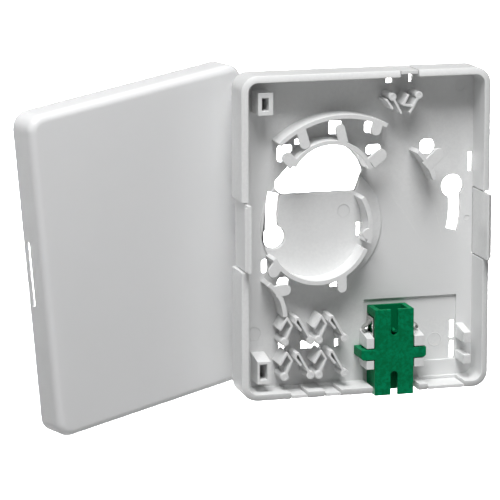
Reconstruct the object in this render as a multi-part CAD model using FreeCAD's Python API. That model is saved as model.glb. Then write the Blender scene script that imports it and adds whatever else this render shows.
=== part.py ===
import FreeCAD, Part
import math
import os

# Fibre termination box. Millimetres, +Z up as it hangs on the wall, front faces -Y.
# Origin at the centre of the base's back face.

# --- outline of the base and the cover
BOX_W = 83.0
BOX_H = 105.0
BASE_D = 12.4
COVER_D = 10.0
CORNER_R = 5.2
WALL = 2.25
FLOOR = 1.8
INNER_R = 3.0
RIM_BEVEL_W = 1.2
RIM_BEVEL_D = 0.6

# --- everything that stands on the floor
GUIDE_TOP = -10.3
GUIDE_T = 1.45
TONGUE_T = 1.2
DISC_C = (-12.3, 2.2)
DISC_R = 20.2
DISC_H = 0.7
PAD_DEPTH = 0.12

# --- cable spool and fibre guides: centre, outer radius, start and end angle
OUTER_GUIDE = ((-7.2, 6.8), 32.1, 62.5, 132.5)
SPOOL_UPPER = ((-11.4, 15.8), 14.9, 21.5, 150.5)
SPOOL_RIGHT = ((-17.8, 1.5), 20.45, -14.0, 31.0)
SPOOL_LOWER = ((-15.4, 1.7), 17.8, 209.5, 336.5)
GUIDE_LEFT = ((-41.0, -26.1), 15.05, 1.0, 51.5)
GUIDE_RIGHT = ((0.84, 8.92), 24.5, 18.3, 44.9)

# --- tongues that hold the fibre down: root, tip, width
OUTER_TONGUES = (((-21.6, 34.9), (-20.1, 29.9), 3.3), ((4.3, 36.3), (3.5, 33.3), 3.4))
UPPER_TONGUES = (
    ((-23.6, 23.3), (-25.8, 25.6), 3.7),
    ((-7.3, 29.6), (-8.4, 34.2), 3.1),
    ((1.9, 22.7), (5.2, 25.2), 3.9),
)
RIGHT_TONGUES = (((2.4, 0.2), (0.9, -0.2), 3.4),)
LOWER_TONGUES = (((-28.7, -8.4), (-30.4, -10.9), 3.7), ((-7.7, -13.5), (-7.6, -17.4), 3.1))
LEFT_TONGUES = (((-29.9, -17.4), (-26.6, -17.0), 3.7),)
RIGHT_GUIDE_TONGUES = (((20.4, 20.6), (24.6, 24.6), 3.8),)

# --- through windows in the floor: low x, low z, high x, high z, corner radius
WINDOWS = (
    (-21.2, 28.3, -18.6, 30.3, 0.5),
    (-9.8, 31.2, -5.3, 35.6, 0.6),
    (2.1, 31.0, 6.1, 35.2, 1.4),
    (-27.1, 22.9, -24.0, 28.6, 1.5),
    (-25.6, 25.7, -21.8, 28.6, 0.9),
    (2.7, 24.0, 8.0, 27.4, 1.4),
    (20.9, 23.4, 26.1, 28.4, 1.9),
    (-32.3, -13.1, -30.0, -8.2, 1.1),
    (-9.2, -19.0, -5.4, -16.6, 0.5),
    (-27.0, -18.3, -22.9, -14.6, 1.5),
    (-0.6, -2.5, 1.05, 2.4, 0.3),
    (37.5, 17.0, 39.1, 23.6, 0.3),
    (9.4, 47.0, 11.6, 49.0, 0.3),
    (17.0, 47.2, 18.3, 49.8, 0.3),
    (-26.6, -38.6, -24.2, -35.9, 0.3),
    (-19.1, -38.9, -12.6, -35.9, 0.3),
    (-7.7, -38.8, -6.1, -35.9, 0.3),
    (32.0, -38.3, 33.7, -32.2, 0.3),
    (32.0, -45.0, 33.7, -39.2, 0.3),
    (2.1, -34.2, 3.5, -32.2, 0.3),
)
PADS = ((-4.9, 6.4, 2.1, DISC_H), (37.3, 1.8, 1.0, 0), (-34.6, -32.6, 2.2, 0), (34.5, 45.3, 1.8, 0))

# --- wall keyholes: two bulbs with an arc slot, the box turns onto its screws
KEY_C = (2.0, 5.7)
KEY_R = 31.0
KEY_BULB_R = 3.75
KEY_SLOT_W = 4.0
KEY_ANGLE = 12.9
KEY_SWEEP = 27.0

# --- D-shaped cable opening behind the spool
D_OPEN_R = 13.3
D_OPEN_CORNERS = ((-25.6, 12.6), (-15.0, 12.6), (-15.0, 27.0), (-22.6, 22.4), (-27.7, 17.0), (-27.7, 14.5))
D_OPEN_RIGHT = ((-20.0, 12.6), (-0.9, 12.6), (1.8, 19.8), (1.8, 30.0), (-20.0, 30.0))

# --- snap tabs at mid height of the long sides
TAB_LOW = -9.9
TAB_HIGH = 11.8
TAB_GAP = 0.4
TAB_IN = 39.3
TAB_OUT = 40.5
TAB_BARB = 41.2
TAB_TIP = -16.2
TAB_TIP_OUT = 39.9
BARB_LEDGE = -14.3
BARB_FULL = -14.9
BARB_END = -15.5
BARB_INSET = 0.6
TAB_BACK = -0.3
FLOOR_GAP = 0.15

# --- cover posts with a rectangular socket: low x, low z, high x, high z
POST_UPPER = (-35.6, 39.6, -30.6, 46.8)
POST_LOWER = (-35.9, -47.5, -31.4, -40.0)
SOCKET_UPPER = (-34.3, 41.0, -32.1, 45.1)
SOCKET_LOWER = (-35.1, -46.0, -32.7, -41.0)
SOCKET_D = 7.0

# --- cable clamps: first pair's left and right half, pin first
CLAMP_LEFT = ((-26.75, -45.6), (-24.4, -40.4), (-26.0, -37.8), (-28.2, -41.4))
CLAMP_RIGHT = ((-18.15, -45.5), (-22.2, -38.1), (-22.9, -38.2), (-23.2, -39.6), (-21.5, -41.9))
CLAMP_T = 0.75
CLAMP_PIN_R = 1.3
CLAMP_PITCH_X = 11.45
CLAMP_PITCH_Z = 11.5
TOP_PIN_R = 1.25
TOP_LEFT = ((9.0, 43.8), (11.8, 38.5))
TOP_LEFT_LEAF = ((6.9, 43.0), (8.9, 40.1))
TOP_RIGHT = ((17.8, 44.0), (14.9, 38.7))
TOP_RIGHT_LEAF = ((14.3, 44.4), (12.6, 41.2))
TOP_LEAF_JOIN = ((12.6, 41.2), (15.9, 40.5))

# --- cable entries that break out: low and high x
TOP_ENTRY = (10.9, 17.1)
BOTTOM_ENTRIES = ((-25.3, -19.6), (-13.9, -8.5), (20.9, 33.7))
ENTRY_Y = -2.6
BREAK_T = 1.1
BREAK_GAP = 0.3

# --- adapter bay
BAY = (2.35, -45.2, 34.0, -23.5)
BAY_DEPTH = 0.8
CUTOUT = (2.25, 18.0)
ADAPTER_X = (3.55, 16.65)
ADAPTER_Z = (-53.8, -25.4)
ADAPTER_Y = (-10.4, -1.2)
FLANGE_X = (-1.1, 20.95)
FLANGE_Z = (-41.85, -38.4)
FLANGE_Y = (-10.4, -2.0)
FLANGE_BEVEL = 0.7
WING_HOLE_R = 1.1
WING_HOLES_X = (1.2, 18.8)
PORT_W = 9.4
PORT_T = 7.0
KEYWAY_W = 2.4
HOUSING_SPLIT = -40.1
PORT_WEB = 1.4
LATCH_CLEAR = 0.1
LATCH_PLATE_T = 1.0
LATCH_TUBE_R = 2.6
LATCH_TUBE_L = 6.0
LATCH_ARM_T = 0.7
LATCH_ARM_W = 3.0
LATCH_ARM_L = 7.5
LATCH_HOOK = 0.6
SLEEVE_R = 1.75
SLEEVE_CLEAR = 0.1
FERRULE_R = 1.26
SLEEVE_HALF = 5.6
KEYWAY_TOP_END = -32.8
KEYWAY_LOW_END = -47.2
CLIP_Z = (-36.0, -28.4)
CLIP_T = 0.3
CLIP_RECESS = 0.5
CLIP_REACH = -8.6
CLIP_LEAF = ((-29.6, 0.0), (-32.7, 0.45))
CLIP_LEAF_Y = (-7.4, -3.6)
POSTS_UPPER_Z = (-38.1, -34.6)
POSTS_LOWER_Z = (-45.0, -42.1)
POST_X_LEFT = (0.75, 3.3)
POST_X_MIDDLE = (16.95, 20.3)
POST_X_RIGHT = (33.8, 36.4)
GUSSET = 1.5

# --- cover
COVER_WALL = 2.0
COVER_TOP = 1.8
COVER_FILLET = 2.5
SLOT_NEAR = 1.7
SLOT_FAR = 3.0
SLOT_SPARE = 0.2
RELIEF_W = 1.2
RELIEF_D = 4.6
RELIEF_SPARE = 0.6
COVER_POS = (-72.68, 5.21, -2.45)
COVER_TURN = (22.91, -7.08, 2.37)


def box(x0, x1, y0, y1, z0, z1):
    """A block between two corners."""
    size = (abs(x1 - x0), abs(y1 - y0), abs(z1 - z0))
    return Part.makeBox(*size, FreeCAD.Vector(min(x0, x1), min(y0, y1), min(z0, z1)))


def cylinder(x, z, radius, y_back, y_front):
    """A round pin or hole along Y."""
    base = FreeCAD.Vector(x, y_back, z)
    return Part.makeCylinder(radius, y_back - y_front, base, FreeCAD.Vector(0, -1, 0))


def prism(points, y_back, y_front):
    """A polygon in the XZ plane carried from y_back to y_front."""
    ring = [FreeCAD.Vector(x, y_back, z) for x, z in points]
    ring.append(ring[0])
    face = Part.Face(Part.makePolygon(ring))
    return face.extrude(FreeCAD.Vector(0, y_front - y_back, 0))


def rounded_block(x0, z0, x1, z1, radius, y_back, y_front):
    """A block whose four edges along Y are rounded."""
    block = box(x0, x1, y_front, y_back, z0, z1)
    along = [e for e in block.Edges if abs(e.tangentAt(e.FirstParameter).y) > 0.99]
    return block.makeFillet(radius, along)


def arc_wall(arc, y_back=-FLOOR, y_front=GUIDE_TOP, thickness=GUIDE_T):
    """A curved wall standing on the floor."""
    (cx, cz), outer, start, end = arc
    steps = 40
    angles = [math.radians(start + (end - start) * i / steps) for i in range(steps + 1)]
    full = cylinder(cx, cz, outer, y_back, y_front)
    full = full.cut(cylinder(cx, cz, outer - thickness, y_back + 1, y_front - 1))
    far = outer * 1.5
    fan = [(cx + far * math.cos(a), cz + far * math.sin(a)) for a in angles[::8]]
    return full.common(prism([(cx, cz)] + fan, y_back, y_front))


def tongue(root, tip, width, y_front=GUIDE_TOP):
    """A flat tongue with a round end, overhanging at a wall's front edge."""
    length = math.hypot(tip[0] - root[0], tip[1] - root[1])
    nx = (tip[1] - root[1]) / length * width / 2
    nz = -(tip[0] - root[0]) / length * width / 2
    sides = [
        (root[0] + nx, root[1] + nz),
        (tip[0] + nx, tip[1] + nz),
        (tip[0] - nx, tip[1] - nz),
        (root[0] - nx, root[1] - nz),
    ]
    y_back = y_front + TONGUE_T
    return prism(sides, y_back, y_front).fuse(cylinder(tip[0], tip[1], width / 2, y_back, y_front))


def guide(arc, tongues, on_disc=False):
    """A curved guide wall with its tongues. Inside the spool it stands on the raised disc."""
    wall = arc_wall(arc)
    if on_disc:
        wall = wall.cut(disc_step())
    for root, tip, width in tongues:
        wall = wall.fuse(tongue(root, tip, width))
    return wall.removeSplitter()


def leaf(points, thickness, y_back, y_front):
    """A thin wall that follows a line of points, with rounded corners."""
    shape = None
    for (x0, z0), (x1, z1) in zip(points, points[1:]):
        length = math.hypot(x1 - x0, z1 - z0)
        nx = (z1 - z0) / length * thickness / 2
        nz = -(x1 - x0) / length * thickness / 2
        corners = [(x0 + nx, z0 + nz), (x1 + nx, z1 + nz), (x1 - nx, z1 - nz), (x0 - nx, z0 - nz)]
        run = prism(corners, y_back, y_front)
        run = run.fuse(cylinder(x1, z1, thickness / 2, y_back, y_front))
        shape = run if shape is None else shape.fuse(run)
    return shape


def moved(points, dx, dz):
    """The same points shifted in the XZ plane."""
    return [(x + dx, z + dz) for x, z in points]


def keyhole(turn):
    """One wall keyhole: a round bulb and a slot that follows the turning circle."""
    start = KEY_ANGLE + turn
    cx, cz = KEY_C
    a = math.radians(start)
    bulb = cylinder(cx + KEY_R * math.cos(a), cz + KEY_R * math.sin(a), KEY_BULB_R, 1, -FLOOR - 1)
    arc = (KEY_C, KEY_R + KEY_SLOT_W / 2, start - KEY_SWEEP, start)
    return bulb.fuse(arc_wall(arc, 1, -FLOOR - 1, KEY_SLOT_W))


def cable_opening():
    """The D-shaped opening that lets the riser cable in behind the spool."""
    (cx, cz) = SPOOL_UPPER[0]
    right = cylinder(cx, cz, D_OPEN_R, 1, -FLOOR - 1).common(prism(D_OPEN_RIGHT, 1, -FLOOR - 1))
    return right.fuse(prism(D_OPEN_CORNERS, 1, -FLOOR - 1))


def tab_recess(side):
    """The part of a long wall that the snap tab takes the place of."""
    low = TAB_LOW - TAB_GAP
    high = TAB_HIGH + TAB_GAP
    return box(side * (TAB_IN - FLOOR_GAP), side * (BOX_W / 2 + 1), -BASE_D - 1, 1, low, high)


def base_shell():
    """The tray: floor, walls, bevelled rim and every opening."""
    outer = rounded_block(-BOX_W / 2, -BOX_H / 2, BOX_W / 2, BOX_H / 2, CORNER_R, 0, -BASE_D)
    shell = bevel_rim(outer)
    inner = rounded_block(
        -BOX_W / 2 + WALL, -BOX_H / 2 + WALL, BOX_W / 2 - WALL, BOX_H / 2 - WALL, INNER_R, -FLOOR, -BASE_D - 1
    )
    shell = shell.cut(inner)
    shell = shell.fuse(disc_step())
    cuts = [keyhole(0), keyhole(180), cable_opening(), tab_recess(-1), tab_recess(1)]
    cuts += [rounded_block(*window, 1, -FLOOR - 1) for window in WINDOWS]
    cuts += [cylinder(x, z, r, -FLOOR - rise + PAD_DEPTH, -FLOOR - rise - 1) for x, z, r, rise in PADS]
    cuts.append(box(BAY[0], BAY[2], -FLOOR - 1, -FLOOR + BAY_DEPTH, BAY[1], BAY[3]))
    cuts.append(box(CUTOUT[0], CUTOUT[1], -FLOOR - 1, -FLOOR + BAY_DEPTH, -BOX_H, BAY[1] + 1))
    cuts.append(box(CUTOUT[0], CUTOUT[1], -BASE_D - 1, -FLOOR, -BOX_H, -BOX_H / 2 + WALL))
    cuts += [box(low, high, -BASE_D - 1, ENTRY_Y, -BOX_H, -BOX_H / 2 + WALL) for low, high in BOTTOM_ENTRIES]
    cuts.append(box(TOP_ENTRY[0], TOP_ENTRY[1], -BASE_D - 1, ENTRY_Y, BOX_H / 2 - WALL, BOX_H))
    for piece in cuts:
        shell = shell.cut(piece)
    return shell.removeSplitter()


def bevel_rim(block):
    """The outer front edge taken off, wider across the rim than down the wall."""
    low = ring_wire(0, -BASE_D + RIM_BEVEL_D)
    high = ring_wire(RIM_BEVEL_W, -BASE_D)
    cap = Part.makeLoft([low, high], True, True)
    lower = block.common(box(-BOX_W, BOX_W, -BASE_D + RIM_BEVEL_D, 1, -BOX_H, BOX_H))
    return lower.fuse(cap)


def ring_wire(inset, y):
    """The box outline, moved inwards, at one depth."""
    block = rounded_block(
        -BOX_W / 2 + inset, -BOX_H / 2 + inset, BOX_W / 2 - inset, BOX_H / 2 - inset, CORNER_R - inset, y, y - 1
    )
    for face in block.Faces:
        if abs(face.CenterOfMass.y - y) < 0.001:
            return face.OuterWire
    raise ValueError("no outline face")


def disc_step():
    """The slightly raised round floor inside and beside the spool."""
    return cylinder(DISC_C[0], DISC_C[1], DISC_R, -FLOOR + 0.1, -FLOOR - DISC_H)


def gusset_post(x0, z0, x1, z1, y_back=-FLOOR, slope=GUSSET):
    """A square post that is longer at the floor than at its front end."""
    profile = [(y_back, z0), (y_back, z1 + slope), (GUIDE_TOP, z1), (GUIDE_TOP, z0)]
    ring = [FreeCAD.Vector(x0, y, z) for y, z in profile]
    ring.append(ring[0])
    return Part.Face(Part.makePolygon(ring)).extrude(FreeCAD.Vector(x1 - x0, 0, 0))


def cover_post(outline, socket, slope):
    """A cover post with its rectangular socket."""
    post = gusset_post(*outline, -FLOOR, slope)
    x0, z0, x1, z1 = socket
    return post.cut(box(x0, x1, GUIDE_TOP - 1, GUIDE_TOP + SOCKET_D, z0, z1))


def adapter_posts(span, y_back=-FLOOR):
    """The upper and lower post on one side of an adapter's flange."""
    upper = gusset_post(span[0], POSTS_UPPER_Z[0], span[1], POSTS_UPPER_Z[1], y_back)
    lower = gusset_post(span[0], POSTS_LOWER_Z[0], span[1], POSTS_LOWER_Z[1], y_back, 0)
    return Part.Compound([upper, lower])


def clamp_pair(dx, dz):
    """Two folded fins that narrow upwards and grip a cable pushed between them."""
    pair = []
    for line in (CLAMP_LEFT, CLAMP_RIGHT):
        points = moved(line, dx, dz)
        fin = leaf(points, CLAMP_T, -FLOOR, GUIDE_TOP)
        pin = cylinder(points[0][0], points[0][1], CLAMP_PIN_R, -FLOOR, GUIDE_TOP)
        pair.append(fin.fuse(pin).removeSplitter())
    return pair


def clamp_row(row):
    """One row of cable clamps."""
    solids = []
    for column in range(2):
        solids += clamp_pair(column * CLAMP_PITCH_X, row * CLAMP_PITCH_Z)
    return Part.Compound(solids)


def top_clamps():
    """The clamp at the top cable entry: two pins, each with a fin and a thin leaf."""
    left = leaf(TOP_LEFT, CLAMP_T, -FLOOR, GUIDE_TOP)
    left = left.fuse(cylinder(*TOP_LEFT[0], TOP_PIN_R, -FLOOR, GUIDE_TOP))
    left_leaf = leaf(TOP_LEFT_LEAF, CLAMP_T, -FLOOR, GUIDE_TOP)
    right = leaf(TOP_RIGHT, CLAMP_T, -FLOOR, GUIDE_TOP)
    right = right.fuse(cylinder(*TOP_RIGHT[0], TOP_PIN_R, -FLOOR, GUIDE_TOP))
    right = right.fuse(leaf(TOP_LEAF_JOIN, CLAMP_T, -FLOOR, GUIDE_TOP))
    right = right.fuse(leaf(TOP_RIGHT_LEAF, CLAMP_T, -FLOOR, GUIDE_TOP))
    return Part.Compound([left.removeSplitter(), left_leaf.removeSplitter(), right.removeSplitter()])


def snap_tab(side):
    """A springy tab with an outward barb. It bends about its root at the floor."""
    profile = [
        (TAB_IN, TAB_BACK),
        (TAB_OUT, TAB_BACK),
        (TAB_OUT, TAB_TIP + (TAB_OUT - TAB_TIP_OUT)),
        (TAB_TIP_OUT, TAB_TIP),
        (TAB_IN, TAB_TIP),
    ]
    barb = [
        (TAB_OUT - 0.2, BARB_LEDGE),
        (TAB_BARB, BARB_LEDGE),
        (TAB_BARB, BARB_FULL),
        (TAB_OUT - 0.2, BARB_END),
    ]
    wall = slab(profile, side, TAB_LOW, TAB_HIGH)
    return wall.fuse(slab(barb, side, TAB_LOW + BARB_INSET, TAB_HIGH - BARB_INSET)).removeSplitter()


def slab(profile, side, low, high):
    """A profile in the XY plane, mirrored for the left side, carried up from low to high."""
    ring = [FreeCAD.Vector(side * x, y, low) for x, y in profile]
    ring.append(ring[0])
    return Part.Face(Part.makePolygon(ring)).extrude(FreeCAD.Vector(0, 0, high - low))


def breakout(span, side):
    """A thin wall panel that snaps out to let a cable through."""
    outer = side * (BOX_H / 2 - BREAK_GAP / 2)
    inner = outer - side * BREAK_T
    return box(span[0] + BREAK_GAP, span[1] - BREAK_GAP, ENTRY_Y - BREAK_GAP, -BASE_D + BREAK_GAP, inner, outer)


def adapter_axis():
    """Where the adapter's fibre axis crosses the XY plane."""
    return (ADAPTER_X[0] + ADAPTER_X[1]) / 2, (ADAPTER_Y[0] + ADAPTER_Y[1]) / 2


def adapter_body():
    """The adapter's outer housing: body, flange, ports, keyways and the recess for its clip."""
    cx, cy = adapter_axis()
    body = box(*ADAPTER_X, *ADAPTER_Y, *ADAPTER_Z)
    flange = box(*FLANGE_X, *FLANGE_Y, *FLANGE_Z)
    middle = (FLANGE_Z[0] + FLANGE_Z[1]) / 2
    along = [e for e in flange.Edges if abs(e.tangentAt(e.FirstParameter).y) > 0.99]
    flange = flange.makeChamfer(FLANGE_BEVEL, [e for e in along if e.CenterOfMass.z < middle])
    for x in WING_HOLES_X:
        down = FreeCAD.Vector(x, cy, FLANGE_Z[0] - 1)
        flange = flange.cut(Part.makeCylinder(WING_HOLE_R, FLANGE_Z[1] - FLANGE_Z[0] + 2, down))
    body = body.fuse(flange)
    half_w = PORT_W / 2
    half_t = PORT_T / 2
    web = PORT_WEB / 2
    for low, high in ((ADAPTER_Z[0] - 1, HOUSING_SPLIT - web), (HOUSING_SPLIT + web, ADAPTER_Z[1] + 1)):
        body = body.cut(box(cx - half_w, cx + half_w, cy - half_t, cy + half_t, low, high))
    body = body.cut(z_tube(cx, cy, SLEEVE_R + SLEEVE_CLEAR, HOUSING_SPLIT - 2, HOUSING_SPLIT + 2))
    half_k = KEYWAY_W / 2
    for low, high, end in (
        (KEYWAY_TOP_END, ADAPTER_Z[1] + 1, KEYWAY_TOP_END),
        (ADAPTER_Z[0] - 1, KEYWAY_LOW_END, KEYWAY_LOW_END),
    ):
        body = body.cut(box(cx - half_k, cx + half_k, ADAPTER_Y[0] - 1, cy - half_t + 0.1, low, high))
        body = body.cut(cylinder(cx, end, half_k, cy - half_t + 0.1, ADAPTER_Y[0] - 1))
    return body.cut(clip_channel())


def z_tube(x, y, radius, low, high):
    """A round rod along Z."""
    return Part.makeCylinder(radius, high - low, FreeCAD.Vector(x, y, low))


def clip_channel():
    """The shallow recess that the steel clip wraps around."""
    low = CLIP_Z[0] - 0.3
    high = CLIP_Z[1] + 0.3
    outer = box(ADAPTER_X[0] - 1, ADAPTER_X[1] + 1, CLIP_REACH - 0.3, ADAPTER_Y[1] + 1, low, high)
    inner = box(
        ADAPTER_X[0] + CLIP_RECESS,
        ADAPTER_X[1] - CLIP_RECESS,
        CLIP_REACH - 1,
        ADAPTER_Y[1] - CLIP_RECESS,
        low - 1,
        high + 1,
    )
    return outer.cut(inner)


def housing_half(upper):
    """One half of the adapter housing. The flange belongs to the inner half."""
    low, high = (HOUSING_SPLIT, BOX_H) if upper else (-BOX_H, HOUSING_SPLIT)
    return adapter_body().common(box(-BOX_W, BOX_W, -BOX_W, BOX_W, low, high)).removeSplitter()


def latch_holder(upper):
    """The inner plastic piece: plate, sleeve tube and two hooked arms."""
    cx, cy = adapter_axis()
    way = 1 if upper else -1
    start = HOUSING_SPLIT + way * PORT_WEB / 2
    half_w = PORT_W / 2 - LATCH_CLEAR
    half_t = PORT_T / 2 - LATCH_CLEAR
    plate_end = start + way * LATCH_PLATE_T
    piece = box(cx - half_w, cx + half_w, cy - half_t, cy + half_t, start, plate_end)
    tube_end = start + way * LATCH_TUBE_L
    low, high = sorted((start, tube_end))
    piece = piece.fuse(z_tube(cx, cy, LATCH_TUBE_R, low, high))
    piece = piece.cut(z_tube(cx, cy, SLEEVE_R + SLEEVE_CLEAR, low - 1, high + 1))
    arm_end = start + way * LATCH_ARM_L
    for side in (-1, 1):
        out = cx + side * half_w
        inside = out - side * LATCH_ARM_T
        arm = box(inside, out, cy - LATCH_ARM_W / 2, cy + LATCH_ARM_W / 2, start, arm_end)
        hook = box(inside - side * LATCH_HOOK, out, cy - LATCH_ARM_W / 2, cy + LATCH_ARM_W / 2, arm_end - way, arm_end)
        piece = piece.fuse(arm).fuse(hook)
    return piece.removeSplitter()


def alignment_sleeve():
    """The ceramic tube that lines up the two ferrules."""
    cx, cy = adapter_axis()
    low = HOUSING_SPLIT - SLEEVE_HALF
    high = HOUSING_SPLIT + SLEEVE_HALF
    return z_tube(cx, cy, SLEEVE_R, low, high).cut(z_tube(cx, cy, FERRULE_R, low - 1, high + 1))


def spring_clip():
    """The steel clip: a U round the back and narrow sides, with a lanced leaf on each side."""
    outer = box(
        ADAPTER_X[0] + CLIP_RECESS - CLIP_T,
        ADAPTER_X[1] - CLIP_RECESS + CLIP_T,
        CLIP_REACH,
        ADAPTER_Y[1] - CLIP_RECESS + CLIP_T,
        *CLIP_Z,
    )
    inner = box(
        ADAPTER_X[0] + CLIP_RECESS,
        ADAPTER_X[1] - CLIP_RECESS,
        CLIP_REACH - 1,
        ADAPTER_Y[1] - CLIP_RECESS,
        CLIP_Z[0] - 1,
        CLIP_Z[1] + 1,
    )
    clip = outer.cut(inner)
    for side, face in ((-1, ADAPTER_X[0] + CLIP_RECESS - CLIP_T), (1, ADAPTER_X[1] - CLIP_RECESS + CLIP_T)):
        (z_top, out_top), (z_low, out_low) = CLIP_LEAF
        profile = [
            (face - side * CLIP_T * 0.5, z_top),
            (face + side * out_top, z_top),
            (face + side * out_low, z_low),
            (face + side * (out_low - CLIP_T), z_low),
        ]
        clip = clip.fuse(prism(profile, CLIP_LEAF_Y[1], CLIP_LEAF_Y[0]))
    return clip.removeSplitter()


def front_cover():
    """The snap-on cover in its own frame: open edge at y = 0, outer face at -COVER_D."""
    block = rounded_block(-BOX_W / 2, -BOX_H / 2, BOX_W / 2, BOX_H / 2, CORNER_R, 0, -COVER_D)
    front = [e for e in block.Edges if abs(e.CenterOfMass.y + COVER_D) < 0.01]
    block = block.makeFillet(COVER_FILLET, front)
    hollow = rounded_block(
        -BOX_W / 2 + COVER_WALL,
        -BOX_H / 2 + COVER_WALL,
        BOX_W / 2 - COVER_WALL,
        BOX_H / 2 - COVER_WALL,
        CORNER_R - COVER_WALL,
        1,
        -COVER_D + COVER_TOP,
    )
    deep = [e for e in hollow.Edges if abs(e.CenterOfMass.y + COVER_D - COVER_TOP) < 0.01]
    cover = block.cut(hollow.makeFillet(COVER_FILLET - COVER_TOP, deep))
    for side in (-1, 1):
        wall_in = side * (BOX_W / 2 - COVER_WALL - 1)
        relief_out = side * (BOX_W / 2 - COVER_WALL + RELIEF_W)
        low = TAB_LOW - RELIEF_SPARE
        high = TAB_HIGH + RELIEF_SPARE
        cover = cover.cut(box(wall_in, relief_out, -RELIEF_D, 1, low, high))
        low = TAB_LOW + BARB_INSET - SLOT_SPARE
        high = TAB_HIGH - BARB_INSET + SLOT_SPARE
        cover = cover.cut(box(wall_in, side * BOX_W, -SLOT_FAR, -SLOT_NEAR, low, high))
    return cover


def placed_cover():
    """The cover taken off and standing behind the left edge of the base."""
    cover = front_cover()
    cover.Placement = FreeCAD.Placement(FreeCAD.Vector(*COVER_POS), FreeCAD.Rotation(*COVER_TURN))
    return cover


NODES = {
    "base_shell": base_shell,
    "outer_fibre_guide": lambda: guide(OUTER_GUIDE, OUTER_TONGUES),
    "spool_wall_upper": lambda: guide(SPOOL_UPPER, UPPER_TONGUES, True),
    "spool_wall_right": lambda: guide(SPOOL_RIGHT, RIGHT_TONGUES, True),
    "spool_wall_lower": lambda: guide(SPOOL_LOWER, LOWER_TONGUES, True),
    "fibre_guide_left": lambda: guide(GUIDE_LEFT, LEFT_TONGUES),
    "fibre_guide_right": lambda: guide(GUIDE_RIGHT, RIGHT_GUIDE_TONGUES),
    "cable_clamps_upper": lambda: clamp_row(1),
    "cable_clamps_lower": lambda: clamp_row(0),
    "top_entry_clamps": top_clamps,
    "cover_post_upper": lambda: cover_post(POST_UPPER, SOCKET_UPPER, 0),
    "cover_post_lower": lambda: cover_post(POST_LOWER, SOCKET_LOWER, GUSSET),
    "adapter_posts_left": lambda: adapter_posts(POST_X_LEFT),
    "adapter_posts_middle": lambda: adapter_posts(POST_X_MIDDLE, -FLOOR + BAY_DEPTH),
    "adapter_posts_right": lambda: adapter_posts(POST_X_RIGHT),
    "snap_tab_left": lambda: snap_tab(-1),
    "snap_tab_right": lambda: snap_tab(1),
    "top_breakout": lambda: breakout(TOP_ENTRY, 1),
    "bottom_breakout_left": lambda: breakout(BOTTOM_ENTRIES[0], -1),
    "bottom_breakout_middle": lambda: breakout(BOTTOM_ENTRIES[1], -1),
    "bottom_breakout_right": lambda: breakout(BOTTOM_ENTRIES[2], -1),
    "adapter_housing_inner": lambda: housing_half(True),
    "adapter_housing_outer": lambda: housing_half(False),
    "adapter_latch_inner": lambda: latch_holder(True),
    "adapter_latch_outer": lambda: latch_holder(False),
    "alignment_sleeve": alignment_sleeve,
    "adapter_spring_clip": spring_clip,
    "front_cover": placed_cover,
}

os.makedirs("parts", exist_ok=True)
for node, make in NODES.items():
    shape = make()
    shape.exportStep("parts/" + node + ".step")
    bounds = shape.BoundBox
    print(node, len(shape.Solids), shape.isValid(), round(shape.Volume, 1),
          [round(v, 2) for v in (bounds.XMin, bounds.XMax, bounds.YMin, bounds.YMax, bounds.ZMin, bounds.ZMax)])
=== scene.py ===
"""Looks of the fibre termination box: moulded pieces, small parts, finishes, light and camera."""

import logging
import math
from dataclasses import dataclass, field
from enum import Enum

import bmesh
import bpy
import numpy as np
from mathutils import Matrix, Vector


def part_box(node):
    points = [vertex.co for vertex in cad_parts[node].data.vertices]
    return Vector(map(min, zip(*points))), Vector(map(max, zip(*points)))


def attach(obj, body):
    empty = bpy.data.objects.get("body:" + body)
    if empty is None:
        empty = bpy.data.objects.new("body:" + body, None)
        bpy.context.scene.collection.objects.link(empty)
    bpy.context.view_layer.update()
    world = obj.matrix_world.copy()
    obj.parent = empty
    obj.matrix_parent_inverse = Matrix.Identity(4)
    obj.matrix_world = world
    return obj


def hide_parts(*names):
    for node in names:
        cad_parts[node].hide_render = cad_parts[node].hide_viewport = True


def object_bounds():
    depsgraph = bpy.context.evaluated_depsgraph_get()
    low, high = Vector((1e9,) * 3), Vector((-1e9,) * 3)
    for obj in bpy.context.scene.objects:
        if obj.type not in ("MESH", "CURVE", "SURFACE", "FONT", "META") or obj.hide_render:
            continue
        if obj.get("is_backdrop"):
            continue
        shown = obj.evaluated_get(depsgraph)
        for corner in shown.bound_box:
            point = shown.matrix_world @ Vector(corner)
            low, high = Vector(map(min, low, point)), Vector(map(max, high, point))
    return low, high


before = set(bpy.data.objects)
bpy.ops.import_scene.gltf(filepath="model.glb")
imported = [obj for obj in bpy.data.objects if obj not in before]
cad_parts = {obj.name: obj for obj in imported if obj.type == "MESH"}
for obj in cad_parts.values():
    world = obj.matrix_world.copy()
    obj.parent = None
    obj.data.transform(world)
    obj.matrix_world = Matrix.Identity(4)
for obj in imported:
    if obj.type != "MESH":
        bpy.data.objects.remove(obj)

LOG = logging.getLogger("termination_box")
MM = 0.001
# Angles in degrees: nearly flat faces are joined, sharper edges are rounded or kept crisp.
FLAT_ANGLE = 0.6
BEVEL_ANGLE = 30.0
CRISP_ANGLE = 32.0
# Heights closer than this, in metres, count as one.
SAME_HEIGHT = 2e-5


# --------------------------------------------------------------------------- shader helpers


class Noise(Enum):
    """Which kind of unevenness a finish has."""

    GRAIN = "grain"
    BRUSHED = "brushed"


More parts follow.
